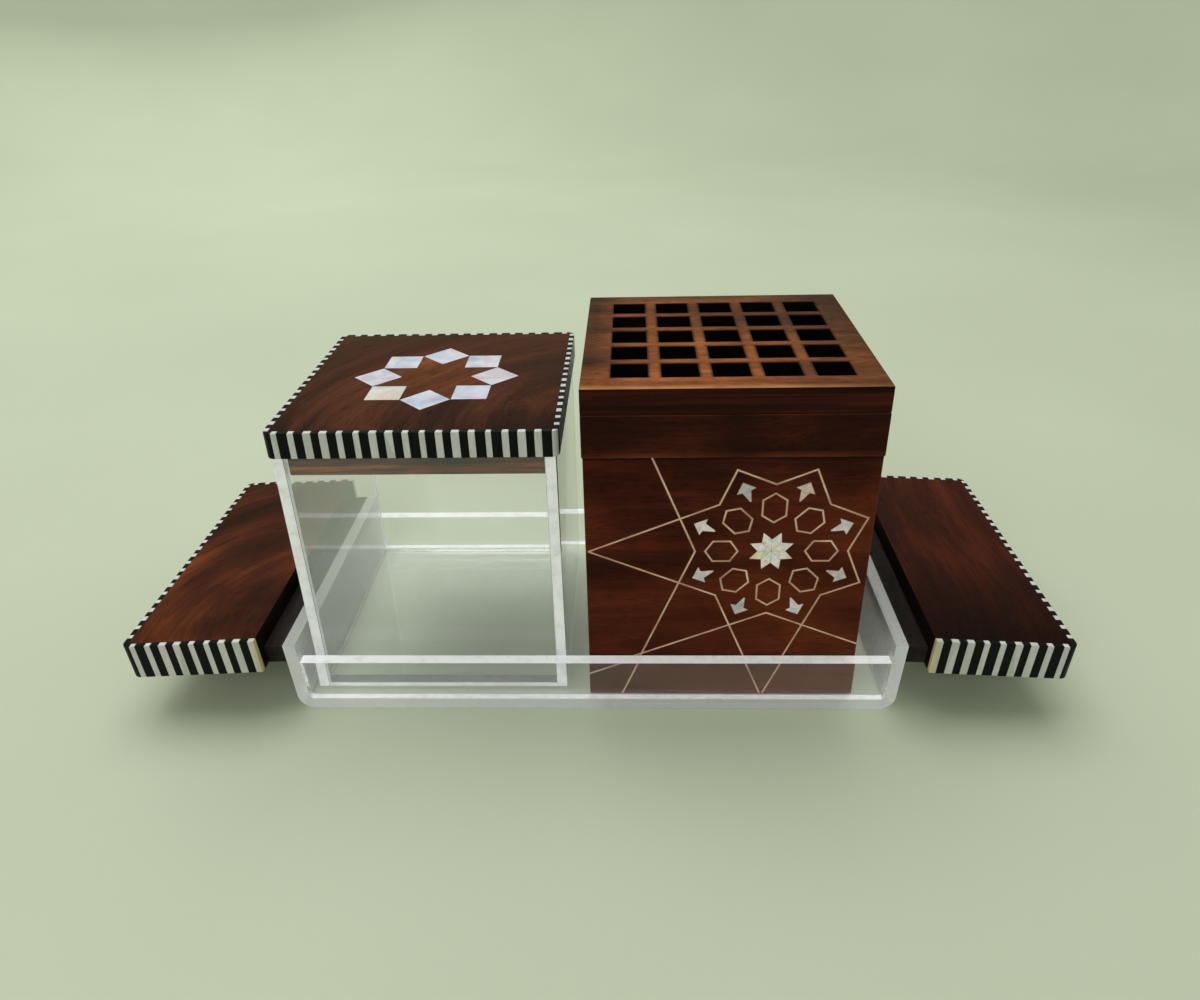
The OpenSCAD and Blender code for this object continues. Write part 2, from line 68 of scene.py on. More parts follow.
class Material:
    """A material with a Principled shader, and short calls that add nodes to it."""

    def __init__(self, name):
        self.data = bpy.data.materials.new(name)
        self.data.use_nodes = True
        self.tree = self.data.node_tree
        self.shader = next(n for n in self.tree.nodes if n.type == "BSDF_PRINCIPLED")
        self.output = next(n for n in self.tree.nodes if n.type == "OUTPUT_MATERIAL")
        self.place = self.add("ShaderNodeTexCoord").outputs["Object"]

    def add(self, kind, inputs=None, **settings):
        node = self.tree.nodes.new(kind)
        for key, value in settings.items():
            setattr(node, key, value)
        for key, value in (inputs or {}).items():
            self.set(node, key, value)
        return node

    def set(self, node, key, value):
        socket = node.inputs[key]
        if isinstance(value, bpy.types.NodeSocket):
            self.tree.links.new(value, socket)
        else:
            socket.default_value = value

    def shade(self, **values):
        for key, value in values.items():
            self.set(self.shader, key.replace("_", " "), value)

    def math(self, operation, a, b=0.0, c=0.0, clamp=False):
        node = self.add("ShaderNodeMath", {0: a, 1: b, 2: c}, operation=operation, use_clamp=clamp)
        return node.outputs[0]

    def product(self, *factors):
        """All the factors multiplied together."""
        result = factors[0]
        for factor in factors[1:]:
            result = self.math("MULTIPLY", result, factor)
        return result

    def map(self, value, low, high, to_low=0.0, to_high=1.0):
        inputs = {"Value": value, "From Min": low, "From Max": high, "To Min": to_low, "To Max": to_high}
        return self.add("ShaderNodeMapRange", inputs, clamp=True).outputs[0]

    def mix(self, factor, a, b, blend="MIX"):
        node = self.add("ShaderNodeMix", {0: factor, 6: a, 7: b}, data_type="RGBA", blend_type=blend)
        return node.outputs[2]

    def ramp(self, factor, *stops):
        node = self.add("ShaderNodeValToRGB", {0: factor})
        ramp = node.color_ramp
        while len(ramp.elements) < len(stops):
            ramp.elements.new(0.5)
        for element, (place, colour) in zip(ramp.elements, stops):
            element.position = place
            element.color = colour
        return node.outputs[0]

    def mapped(self, vector, scale=(1, 1, 1), turn=(0, 0, 0), shift=(0, 0, 0)):
        inputs = {"Vector": vector, "Location": shift, "Rotation": turn, "Scale": scale}
        return self.add("ShaderNodeMapping", inputs).outputs[0]

    def moved(self, vector, by):
        return self.add("ShaderNodeVectorMath", {0: vector, 1: by}, operation="ADD").outputs[0]

    def grey(self, value):
        return self.add("ShaderNodeCombineColor", {0: value, 1: value, 2: value}).outputs[0]

    def noise(self, vector, scale=1.0, detail=3.0, rough=0.5, distortion=0.0):
        inputs = {"Vector": vector, "Scale": scale, "Detail": detail,
                  "Roughness": rough, "Distortion": distortion}
        return self.add("ShaderNodeTexNoise", inputs).outputs[0]

    def random(self, number):
        """The colour that a whole number stands for."""
        return self.add("ShaderNodeTexWhiteNoise", {"W": number}, noise_dimensions="1D").outputs[1]

    def axis(self, vector, index):
        return self.add("ShaderNodeSeparateXYZ", {0: vector}).outputs[index]

    def along(self, index, start, end, *to):
        """Goes from 0 at start to 1 at end along an axis, or between the two values of to."""
        return self.map(self.axis(self.place, index), start, end, *to)

    def normal_axis(self, index):
        return self.axis(self.add("ShaderNodeNewGeometry").outputs["True Normal"], index)

    def block(self):
        """A value from 0 to 1 that differs from one loose block of a node to the next."""
        return self.add("ShaderNodeNewGeometry").outputs["Random Per Island"]

    def bump(self, *layers):
        """Stacks heights given as (height socket, distance in metres)."""
        normal = None
        for height, distance in layers:
            inputs = {"Height": height, "Distance": distance, "Strength": 1.0}
            if normal is not None:
                inputs["Normal"] = normal
            normal = self.add("ShaderNodeBump", inputs).outputs[0]
        self.shade(Normal=normal)

    def wear_and_highlight_edges(self):
        """1 on a sharp outer edge and 0 on a flat face, from a rounded normal."""
        rounded = self.add("ShaderNodeBevel", {"Radius": WEAR_AND_HIGHLIGHT_BAND}, samples=4).outputs[0]
        flat = self.add("ShaderNodeNewGeometry").outputs["True Normal"]
        dot = self.add("ShaderNodeVectorMath", {0: rounded, 1: flat}, operation="DOT_PRODUCT")
        return self.map(dot.outputs["Value"], 0.98, 0.72)

    def recolour(self, factor, colour, blend="MIX"):
        """Mixes another colour over the one that the material already has."""
        current = self.shader.inputs["Base Color"].links[0].from_socket
        self.shade(Base_Color=self.mix(factor, current, colour, blend))

    def tint(self, factor, colour):
        """Multiplies the colour that the material already has by another."""
        self.recolour(factor, colour, "MULTIPLY")


def rgb(red, green, blue):
    """Linear colour from the 0 to 255 values that a screen shows."""
    def linear(value):
        value /= 255
        return value / 12.92 if value <= 0.04045 else ((value + 0.055) / 1.055) ** 2.4
    return (linear(red), linear(green), linear(blue), 1)


# ---------- wood ----------

# Turns about the upright axis that lay the grain along each of the other two
ALONG_X = 0.0
ALONG_Y = math.radians(90)

# Features of the wood per metre: along the grain, then across it both ways
WANDER = (9, 16, 16)
BANDS = (5, 62, 62)
STREAKS = (11, 260, 260)
FIBRES = (55, 1500, 1500)
PORES = (120, 2100, 2100)
FLECKS = (130, 520, 520)
CLOUDS = (14, 22, 22)

SWAY = 11 * MM              # how far the fibres wander sideways
DIP = 8 * MM                # how far they wander up and down
BOW_RADIUS = 80 * MM        # where bowed grain has its true length
SEED_STEP = (0.37, 0.61, 0.23)      # metres that each whole seed moves the pattern by
BAND_SHARE = 0.62           # of the figure; the streaks make the rest
CLOUD_DEPTH = 0.16
PORE_COLOUR = rgb(14, 5, 3)


def bowed(m, centre):
    """Place along and across grain that runs in arcs round an upright line at centre."""
    away = m.moved(m.place, (-centre[0], -centre[1], 0))
    x, y, z = (m.axis(away, index) for index in range(3))
    radius = m.math("SQRT", m.math("ADD", m.math("MULTIPLY", x, x), m.math("MULTIPLY", y, y)))
    angle = m.math("ARCTAN2", y, m.math("MULTIPLY", x, -1.0))
    along = m.math("MULTIPLY", angle, BOW_RADIUS)
    return m.add("ShaderNodeCombineXYZ", {0: along, 1: radius, 2: z}).outputs[0]


def grain_place(m, grain, seed, bow):
    """Place along and across the grain of one board, out of a log that the seed picks."""
    shift = tuple(seed * step for step in SEED_STEP)
    if bow:
        return m.mapped(bowed(m, bow), shift=shift)
    return m.mapped(m.place, turn=(0, 0, grain), shift=shift)


def wandering(m, place):
    """The same place, with fibres that wander a little along the board."""
    bend = m.noise(m.mapped(place, WANDER), detail=2)
    sway = m.add("ShaderNodeCombineXYZ", {1: m.map(bend, 0, 1, -SWAY, SWAY),
                                          2: m.map(bend, 0, 1, DIP, -DIP)}).outputs[0]
    return m.moved(place, sway)


def wood(name, grain, tones, seed, figure=1.0, cloud=1.0, gloss=0.42, wear_and_highlight_colour=None, bow=None):
    """Walnut with its grain along a turn, or in arcs round the point bow. tones are its dark,
    middle and light; figure and cloud are the strength of its bands and of its broad patches;
    gloss is its roughness, and the colour given for its edges paints rubbed wear and a highlight on them."""
    dark, middle, light = tones
    m = Material(name)
    place = grain_place(m, grain, seed, bow)
    swayed = wandering(m, place)
    bands = m.noise(m.mapped(swayed, BANDS), detail=3.5, rough=0.55)
    streaks = m.noise(m.mapped(swayed, STREAKS), detail=4, rough=0.62)
    fibres = m.noise(m.mapped(swayed, FIBRES), detail=2, rough=0.5)
    pores = m.noise(m.mapped(swayed, PORES), detail=1, rough=0.4)
    flecks = m.noise(m.mapped(swayed, FLECKS), detail=3, rough=0.6)
    clouds = m.noise(m.mapped(place, CLOUDS), detail=2.5, rough=0.5)
    tone = m.math("MULTIPLY_ADD", bands, BAND_SHARE * figure,
                  m.math("MULTIPLY", streaks, (1 - BAND_SHARE) * figure))
    tone = m.math("ADD", tone, 0.5 - 0.5 * figure)
    tone = m.math("ADD", tone, m.map(clouds, 0.25, 0.75, -CLOUD_DEPTH * cloud, CLOUD_DEPTH * cloud))
    colour = m.ramp(tone, (0.26, dark), (0.5, middle), (0.76, light))
    fine = m.math("MULTIPLY", m.map(fibres, 0.3, 0.7, 0.84, 1.14), m.map(flecks, 0.3, 0.7, 0.84, 1.14))
    colour = m.mix(1.0, colour, m.grey(fine), "MULTIPLY")
    open_pore = m.map(pores, 0.60, 0.70)
    colour = m.mix(m.math("MULTIPLY", open_pore, 0.5), colour, PORE_COLOUR)
    if wear_and_highlight_colour:
        # Rubbed wear and a painted highlight along the sharp outer edges
        colour = m.mix(m.math("MULTIPLY", m.wear_and_highlight_edges(), 0.6), colour, wear_and_highlight_colour)
    rough = m.map(clouds, 0.3, 0.7, gloss - 0.05, gloss + 0.07)
    rough = m.math("ADD", rough, m.math("MULTIPLY", open_pore, 0.2))
    m.shade(Base_Color=colour, Roughness=rough, Specular_IOR_Level=0.05)
    m.bump((fibres, 0.04 * MM), (m.math("SUBTRACT", 1.0, open_pore), 0.07 * MM), (bands, 0.06 * MM))
    return m


# ---------- bone, ebony, stringing and brass ----------

def bone(name, seed):
    """Polished bone blocks: each a little different, with faint canals across them."""
    m = Material(name)
    mottling = m.noise(m.mapped(m.place, shift=(seed, 0, 0)), scale=420, detail=3)
    canals = m.noise(m.mapped(m.place, (2600, 2600, 260)), detail=2)
    colour = m.ramp(m.block(), (0.0, rgb(190, 194, 186)), (0.3, rgb(205, 205, 206)),
                    (0.8, rgb(212, 212, 218)), (1.0, rgb(218, 212, 204)))
    colour = m.mix(m.map(mottling, 0.45, 0.75, 0, 0.3), colour, rgb(186, 178, 164))
    colour = m.mix(m.map(canals, 0.62, 0.72, 0, 0.25), colour, rgb(150, 140, 124))
    # Painted shade: the sides are greyed against the top, which more light comes through
    colour = m.mix(m.map(m.normal_axis(2), 0.9, 0.2, 0, 0.16), colour, rgb(120, 124, 124))
    m.shade(Base_Color=colour, Roughness=m.map(mottling, 0.3, 0.7, 0.28, 0.42))
    m.shade(Subsurface_Weight=0.15, Subsurface_Radius=(0.9, 0.7, 0.5), Subsurface_Scale=1 * MM)
    m.bump((canals, 0.03 * MM), (mottling, 0.03 * MM))
    return m


def ivory_ends(name, seed, inner_edge):
    """Bone whose blocks next to the tray are yellowed along their inner side."""
    m = bone(name, seed)
    out = m.math("ABSOLUTE", m.axis(m.place, 0))
    yellowed = m.map(out, inner_edge + 3.4 * MM, inner_edge + 0.2 * MM)
    grain = m.noise(m.mapped(m.place, (600, 600, 60)), detail=2)
    m.recolour(yellowed, m.ramp(grain, (0.3, rgb(188, 164, 104)), (0.7, rgb(216, 200, 148))))
    return m


def ebony(name, seed):
    """Black-stained hardwood with a faint brown grain."""
    m = Material(name)
    place = m.mapped(m.place, shift=(seed, seed * 0.3, 0))
    grain = m.noise(m.mapped(place, (700, 700, 90)), detail=3)
    patches = m.noise(place, scale=160, detail=2)
    colour = m.ramp(grain, (0.35, rgb(5, 5, 6)), (0.6, rgb(11, 10, 10)), (0.8, rgb(24, 19, 17)))
    m.shade(Base_Color=colour, Roughness=m.map(patches, 0.3, 0.7, 0.3, 0.48))
    m.shade(Specular_IOR_Level=0.1)
    m.bump((grain, 0.04 * MM))
    return m


def stringing(name):
    """Cream bone strip, a little stained by the varnish of the wood around it."""
    m = Material(name)
    stain = m.noise(m.place, scale=90, detail=3)
    grain = m.noise(m.place, scale=900, detail=2)
    colour = m.ramp(stain, (0.3, rgb(176, 132, 114)), (0.5, rgb(212, 172, 152)), (0.7, rgb(232, 206, 190)))
    colour = m.mix(m.map(grain, 0.5, 0.8, 0, 0.35), colour, rgb(150, 110, 80))
    m.shade(Base_Color=colour, Roughness=m.map(grain, 0.3, 0.7, 0.32, 0.5))
    m.bump((grain, 0.03 * MM))
    return m


def brass(name):
    """Spun brass, browned by heat, with fine turning marks."""
    m = Material(name)
    marks = m.noise(m.mapped(m.place, (30, 30, 2500)), detail=2)
    heat = m.noise(m.place, scale=55, detail=4)
    colour = m.ramp(heat, (0.3, rgb(58, 42, 30)), (0.5, rgb(120, 92, 52)), (0.7, rgb(158, 128, 76)))
    m.shade(Base_Color=colour, Metallic=1.0, Roughness=m.map(heat, 0.3, 0.7, 0.55, 0.3))
    m.bump((marks, 0.02 * MM))
    return m


# ---------- mother of pearl ----------

SLICES = 8                  # pieces of pearl in a ring
TINT_STEP = 3 / SLICES      # sends neighbours to tints that lie far apart
TINT_STOPS = (0.0, 0.12, 0.4, 0.7, 1.0)

# The axes that run across a face and up it
FRONT_FACE = (0, 2)
TOP_FACE = (0, 1)


def slices(m, node, face, offset):
    """Numbers the equal slices round the middle of a node, from 0. The first one starts at
    the axis across the face, or the offset, in slices, before it."""
    low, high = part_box(node)
    aside, above = (m.math("SUBTRACT", m.axis(m.place, index), (low[index] + high[index]) / 2)
                    for index in face)
    turn = m.math("DIVIDE", m.math("ARCTAN2", above, aside), math.radians(360 / SLICES))
    return m.math("FLOORED_MODULO", m.math("FLOOR", m.math("ADD", turn, offset)), float(SLICES))


def pearl(node, face, offset, first, patch, tints):
    """Mother of pearl: each piece of a node has its own tint and layers. The piece numbered
    first has the first tint, and patch is how many cloudy patches there are in a metre."""
    m = Material(node + "_shell")
    number = slices(m, node, face, offset)
    value = m.math("MULTIPLY", m.math("SUBTRACT", number, first), TINT_STEP)
    value = m.math("FLOORED_MODULO", value, 1.0)
    jump = m.moved(m.place, m.random(m.math("ADD", number, patch)))
    layers = m.noise(m.mapped(jump, turn=(0.5, 0.3, 0.8)), scale=patch, distortion=0.9)
    gleam = m.noise(jump, scale=patch * 0.9, detail=1)
    flaw = m.noise(m.mapped(jump, shift=(3, 1, 2)), scale=patch * 0.45, distortion=0.8)
    lines = m.noise(m.mapped(jump, (500, 2600, 1500), turn=(0, 0, 0.4)), detail=2)
    colour = m.ramp(value, *zip(TINT_STOPS, tints))
    colour = m.mix(m.map(gleam, 0.5, 0.68), colour, m.mix(1.0, colour, rgb(222, 232, 250), "MULTIPLY"))
    colour = m.mix(m.map(gleam, 0.48, 0.32), colour, m.mix(1.0, colour, rgb(252, 228, 234), "MULTIPLY"))
    shade = m.ramp(layers, (0.3, rgb(222, 224, 228)), (0.5, rgb(247, 248, 250)), (0.7, rgb(255, 255, 255)))
    colour = m.mix(1.0, colour, shade, "MULTIPLY")
    colour = m.mix(m.map(flaw, 0.64, 0.72, 0, 0.8), colour, rgb(190, 176, 128))
    colour = m.mix(m.map(lines, 0.6, 0.8, 0, 0.15), colour, rgb(150, 150, 150))
    m.shade(Base_Color=colour, Roughness=m.map(layers, 0.3, 0.7, 0.16, 0.3))
    m.shade(Coat_Weight=0.4, Coat_Roughness=0.1, Specular_IOR_Level=0.5)
    m.bump((layers, 0.04 * MM), (lines, 0.01 * MM))
    return m


# ---------- acrylic ----------

ACRYLIC_IOR = 1.49
ACRYLIC_CLEAR = (0.985, 0.993, 0.988, 1)
ACRYLIC_SHADOW = (0.97, 0.98, 0.975, 1)
EDGE_ROUGHNESS = 0.3
EDGE_SHADOW = 0.4           # how much of the light a sawn edge holds back
RIM_FROST = 0.6             # of the polished rims, where a sawn edge has 1
SCUFFS = 0.3                # milk that the scuffs add


def acrylic(name, cut=None, haze=0.02, sheen=0.36, frost=0.86, glow=0.2, scuffs=None):
    """Clear sheet. haze is how milky smears make its broad faces, and sheen how much painted sheen,
    a milk that grows at a low angle, is added; scuffs(m) adds the milk where hands rub. cut(m)
    gives 1 on the sawn edges, which are milky by frost and carry a painted glow, an emission as
    strong as glow, for the light inside the sheet. A sheet without a cut has no bare edge."""
    m = Material(name)
    smears = m.noise(m.mapped(m.place, (14, 14, 30)), detail=4, rough=0.6, distortion=0.5)
    grain = m.noise(m.place, scale=260, detail=3)
    milk = m.ramp(grain, (0.3, rgb(212, 213, 213)), (0.6, rgb(234, 235, 238)))
    low = m.add("ShaderNodeLayerWeight", {"Blend": 0.5}).outputs["Facing"]
    haze_and_sheen = m.map(smears, 0.35, 0.75, haze * 0.4, haze * 1.6)
    # Painted sheen: milk added at a low angle stands in for the glare on the sheet
    haze_and_sheen = m.math("ADD", haze_and_sheen, m.math("MULTIPLY", m.math("POWER", low, 3.0), sheen))
    if scuffs:
        haze_and_sheen = m.math("ADD", haze_and_sheen, scuffs(m))
    m.shade(IOR=ACRYLIC_IOR, Roughness=0.0)
    edge = None
    if cut:
        edge = cut(m)
        haze_and_sheen = m.math("MAXIMUM", haze_and_sheen, m.math("MULTIPLY", edge, frost), clamp=True)
        m.shade(Roughness=m.math("MULTIPLY", edge, EDGE_ROUGHNESS))
        # Painted glow: the sawn edges emit light that stands in for the light the sheet carries
        m.shade(Emission_Color=milk, Emission_Strength=m.math("MULTIPLY", edge, glow))
        m.bump((m.math("MULTIPLY", edge, grain), 0.02 * MM))
    m.shade(Base_Color=m.mix(haze_and_sheen, ACRYLIC_CLEAR, milk), Transmission_Weight=m.math("SUBTRACT", 1.0, haze_and_sheen))
    pass_light(m, edge)
    return m


def pass_light(m, edge):
    """Lets light pass through a clear sheet to what stands behind it, but less at its edge."""
    through = m.add("ShaderNodeBsdfTransparent", {0: ACRYLIC_SHADOW}).outputs[0]
    share = m.add("ShaderNodeLightPath").outputs["Is Shadow Ray"]
    if edge is not None:
        share = m.math("MULTIPLY", share, m.math("SUBTRACT", 1.0, m.math("MULTIPLY", edge, EDGE_SHADOW)))
    surface = m.add("ShaderNodeMixShader", {0: share, 1: m.shader.outputs[0], 2: through}).outputs[0]
    m.tree.links.new(surface, m.output.inputs[0])


def across(axis):
    """Sawn edges of a flat sheet: the faces that don't look along the given axis."""
    def cut(m):
        return m.map(m.math("ABSOLUTE", m.normal_axis(axis)), 0.75, 0.35)
    return cut


def top_edge(m):
    """The upper edge of a strip that is glued in along its ends and its foot."""
    return m.map(m.normal_axis(2), 0.35, 0.75)


def bent_sheet(rim):
    """Sawn edges of the bent sheet: its front and back, and its rims, which are polished."""
    def cut(m):
        ends = m.map(m.math("ABSOLUTE", m.normal_axis(1)), 0.6, 0.8)
        above = m.along(2, rim - 2 * MM, rim - 1 * MM)
        rims = m.math("MULTIPLY", above, m.map(m.normal_axis(2), 0.6, 0.8, 0, RIM_FROST))
        return m.math("MAXIMUM", ends, rims)
    return cut


def end_walls(m):
    """The broad faces of the two end walls, which hands rub when the tray is carried."""
    return m.map(m.math("ABSOLUTE", m.normal_axis(0)), 0.7, 0.95, 0, SCUFFS)


# ---------- dressing the frame ----------

TOUCH = 0.01 * MM           # points that are closer than this are one
SHEET_GAP = 0.05 * MM
SHEET_EDGE = 0.3 * MM
STRIP_EDGE = 0.4 * MM
WOOD_EDGE = 0.4 * MM
LID_EDGE = 0.5 * MM
HANDLE_EDGE = 0.6 * MM
GRILLE_EDGE = 0.6 * MM


def dress(node, material):
    """Gives a CAD node one material in all its slots."""
    slots = NODES[node].data.materials
    for index in range(len(slots)):
        slots[index] = material.data
    if len(slots) == 0:
        slots.append(material.data)


def weld(piece):
    """Joins the corners that the faces of a piece share."""
    if "weld" not in piece.modifiers:
        piece.modifiers.new("weld", "WELD").merge_threshold = TOUCH


def soften(node, width):
    """Rounds a node's sharp edges a little, as sanding and polishing do."""
    piece = NODES[node]
    weld(piece)
    bevel = piece.modifiers.new("bevel", "BEVEL")
    bevel.width = width
    bevel.segments = 2
    bevel.limit_method = "ANGLE"
    bevel.angle_limit = math.radians(40)
    even = piece.modifiers.new("normals", "WEIGHTED_NORMAL")
    even.keep_sharp = False


def part_faces(node):
    """Draws a clear sheet in by a hair, so that it shares no face with the next sheet."""
    piece = NODES[node]
    weld(piece)
    gap = piece.modifiers.new("gap", "DISPLACE")
    gap.mid_level = 0.0
    gap.strength = -SHEET_GAP


# ---------- box ----------

BOX_TONES = (rgb(34, 11, 7), rgb(62, 24, 14), rgb(102, 44, 24))
RAIL_TONES = (rgb(26, 9, 6), rgb(48, 18, 12), rgb(82, 35, 20))
# Painted light: the grille top's walnut, lighter for the overhead light on it
LIT_GRILLE_TOP_TONES = (rgb(66, 32, 18), rgb(122, 66, 35), rgb(166, 98, 52))
SMOKED_TONES = (rgb(14, 8, 6), rgb(32, 19, 13), rgb(54, 34, 22))
# Rubbed wear and a painted highlight on the edges of the walnut
EDGE_WEAR_AND_HIGHLIGHT = rgb(132, 72, 44)
CREAM_PEARL = (rgb(255, 246, 214), rgb(255, 248, 232), rgb(255, 250, 244), rgb(254, 248, 252),
               rgb(255, 250, 240))
DUSKY_PEARL = (rgb(222, 200, 186), rgb(238, 222, 222), rgb(196, 190, 190), rgb(244, 234, 236),
               rgb(246, 232, 240))


def warm_corner(m):
    """Reddens the wood of the front in patches, and more towards its lower right."""
    low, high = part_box("box_front_wall")
    rightward = m.along(0, low[0], high[0], -0.3, 0.7)
    downward = m.along(2, high[2], low[2], -0.4, 0.9)
    streaks = m.map(m.noise(m.mapped(m.place, (7, 40, 60)), detail=3), 0.35, 0.65, 0.1, 1.0)
    warmth = m.math("MULTIPLY", m.math("ADD", rightward, downward, clamp=True), streaks)
    m.recolour(m.math("MULTIPLY", warmth, 0.5), rgb(112, 52, 24))
    patches = m.noise(m.mapped(m.place, (26, 60, 80), shift=(2, 0, 1)), detail=4, rough=0.6)
    m.recolour(m.map(patches, 0.52, 0.7, 0, 0.5), rgb(98, 34, 18))
    m.recolour(m.map(patches, 0.46, 0.3, 0, 0.4), rgb(40, 18, 18))


def painted_seam_shadow(m):
    """Painted shadow: darkens the uppermost millimetre of the front, where the lid sits down on it and
    shades it.
    """
    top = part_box("box_front_wall")[1][2]
    m.recolour(m.along(2, top - 1.6 * MM, top - 0.6 * MM, 0, 0.75), rgb(12, 6, 5))


def dress_box():
    front = wood("walnut_box_front", ALONG_X, BOX_TONES, seed=1.0, figure=0.85, cloud=1.3, wear_and_highlight_colour=EDGE_WEAR_AND_HIGHLIGHT)
    warm_corner(front)
    painted_seam_shadow(front)
    side = wood("walnut_box_sides", ALONG_Y, BOX_TONES, seed=2.0, figure=0.8, wear_and_highlight_colour=EDGE_WEAR_AND_HIGHLIGHT)
    for where, material in zip(SIDES, (front, front, side, side)):
        dress("box_" + where + "_wall", material)
    # The front wall keeps its crisp pockets
    for where in SIDES[1:]:
        soften("box_" + where + "_wall", WOOD_EDGE)


def dress_inlay():
    cream = stringing("cream_stringing")
    dress("box_front_stringing", cream)
    dress("box_front_hexagons", cream)
    dress("box_front_pearl_star", pearl("box_front_pearl_star", FRONT_FACE, offset=0.0, first=4.0,
                                        patch=260, tints=CREAM_PEARL))
    dress("box_front_pearl_darts", pearl("box_front_pearl_darts", FRONT_FACE, offset=0.0, first=1.0,
                                         patch=200, tints=DUSKY_PEARL))


def dress_inside():
    smoked = wood("smoked_walnut", ALONG_X, SMOKED_TONES, seed=6.0, gloss=0.6)
    for node in ("box_floor", "box_corner_posts", *("box_liner_" + side for side in SIDES)):
        dress(node, smoked)
        soften(node, WOOD_EDGE)
    metal = brass("dark_brass")
    dress("box_heat_shelf", metal)
    dress("ember_cup", metal)


# ---------- box lid ----------

HOLES = 5                   # in a row of the grille
HOLE_PITCH = 22 * MM
HOLE_SIDE = 16 * MM
HOLE_FIELD = (HOLES - 1) * HOLE_PITCH + HOLE_SIDE
HOLE_SHADE_REACH = 1.6 * MM            # how far the painted shade round a hole reaches
MARGIN = 4 * MM             # of the grille board, where its sides aren't blackened


def near_holes(m, low, high):
    """1 at the edge of a hole of the grille, fading to 0 where the painted shade round it ends."""
    far = None
    field = 1.0
    for axis in (0, 1):
        away = m.math("SUBTRACT", m.axis(m.place, axis), (low[axis] + high[axis]) / 2)
        past = m.math("SUBTRACT", m.math("PINGPONG", away, HOLE_PITCH / 2), HOLE_SIDE / 2)
        far = past if far is None else m.math("MAXIMUM", far, past)
        reach = m.map(m.math("ABSOLUTE", away), HOLE_FIELD / 2 + HOLE_SHADE_REACH, HOLE_FIELD / 2)
        field = m.math("MULTIPLY", field, reach)
    return m.math("MULTIPLY", field, m.map(far, HOLE_SHADE_REACH, 0.0))


def grille_top_marks(m, up, low, high):
    """Spots, a front edge lightened by rubbed wear and a painted highlight, painted shade round the holes
    and tints that differ from side to side on the grille's top.
    """
    (left, front, _), (right, back, _) = low, high
    rubbed_and_lit = m.map(m.noise(m.mapped(m.place, (30, 60, 60)), detail=3), 0.3, 0.6, 0.25, 0.8)
    edge = m.along(1, front + 4.5 * MM, front + 0.8 * MM)
    # Rubbed wear and a painted highlight along the front edge
    m.recolour(m.product(edge, rubbed_and_lit, up), rgb(190, 132, 82))
    behind = m.along(1, front + 6 * MM, front + 30 * MM)
    leftward = m.along(0, left + 18 * MM, left + 4 * MM)
    m.tint(m.product(leftward, behind, up), rgb(190, 190, 205))
    m.tint(m.product(m.along(0, right - 48 * MM, right - 2 * MM), up), rgb(184, 188, 202))
    m.tint(m.product(m.along(1, front + 30 * MM, back), up), rgb(222, 218, 220))
    m.tint(m.product(m.along(1, back - 18 * MM, back - 4 * MM), up), rgb(204, 228, 255))
    # Painted shade round the edges of the holes
    m.tint(m.product(near_holes(m, low, high), up), rgb(96, 84, 84))


def blackened_hole_sides(m, low, high):
    """Blackens the upright faces of the grille board that lie inside its margin."""
    inside = 1.0
    for axis in (0, 1):
        inside = m.math("MULTIPLY", inside, m.along(axis, low[axis] + MARGIN, low[axis] + 2 * MARGIN))
        inside = m.math("MULTIPLY", inside, m.along(axis, high[axis] - MARGIN, high[axis] - 2 * MARGIN))
    upright = m.map(m.normal_axis(2), 0.75, 0.35)
    m.recolour(m.math("MULTIPLY", inside, upright), rgb(10, 7, 6))


def grille_wood():
    """Light brown on top and as dark as the rails on its sides, and black in the holes: one walnut, with
    painted light on its top and painted shade on its sides.
    """
    m = wood("walnut_grille", ALONG_X, LIT_GRILLE_TOP_TONES, seed=5.0, figure=1.15, cloud=1.5,
             wear_and_highlight_colour=rgb(176, 112, 66))
    low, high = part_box("box_lid_grille_board")
    up = m.map(m.normal_axis(2), 0.5, 0.9)
    spots = m.noise(m.mapped(m.place, (190, 260, 260)), detail=4, rough=0.6)
    m.tint(1.0, m.grey(m.map(spots, 0.3, 0.7, 0.72, 1.1)))
    # Painted shade: the sides take the darker rail tones, as the same walnut looks in shade
    side = m.ramp(m.noise(m.mapped(m.place, (6, 80, 300)), detail=4), *zip((0.3, 0.55, 0.75), RAIL_TONES))
    m.recolour(m.math("SUBTRACT", 1.0, up), side)
    grille_top_marks(m, up, low, high)
    blackened_hole_sides(m, low, high)
    return m


def foot_wear_and_highlight(m):
    """Rubs the lower edge of a lid rail to a lighter brown, in places more than in others; the lighter
    brown is rubbed wear and a painted highlight.
    """
    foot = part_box("box_lid_front_rail")[0][2]
    edge = m.along(2, foot + 3.2 * MM, foot + 0.6 * MM)
    rubbed_and_lit = m.map(m.noise(m.mapped(m.place, (28, 28, 60)), detail=3), 0.35, 0.65, 0.1, 0.75)
    m.recolour(m.math("MULTIPLY", edge, rubbed_and_lit), rgb(112, 54, 32))


def smoke_mark(m):
    """Leaves an upright dark mark near the middle of the front rail of the lid."""
    low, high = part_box("box_lid_front_rail")
    middle = (low[0] + high[0]) / 2 + 3 * MM
    away = m.math("ABSOLUTE", m.math("SUBTRACT", m.axis(m.place, 0), middle))
    ragged = m.math("MULTIPLY", m.noise(m.place, scale=60, detail=3), 12 * MM)
    m.recolour(m.map(m.math("ADD", away, ragged), 26 * MM, 6 * MM, 0, 0.6), rgb(20, 10, 9))


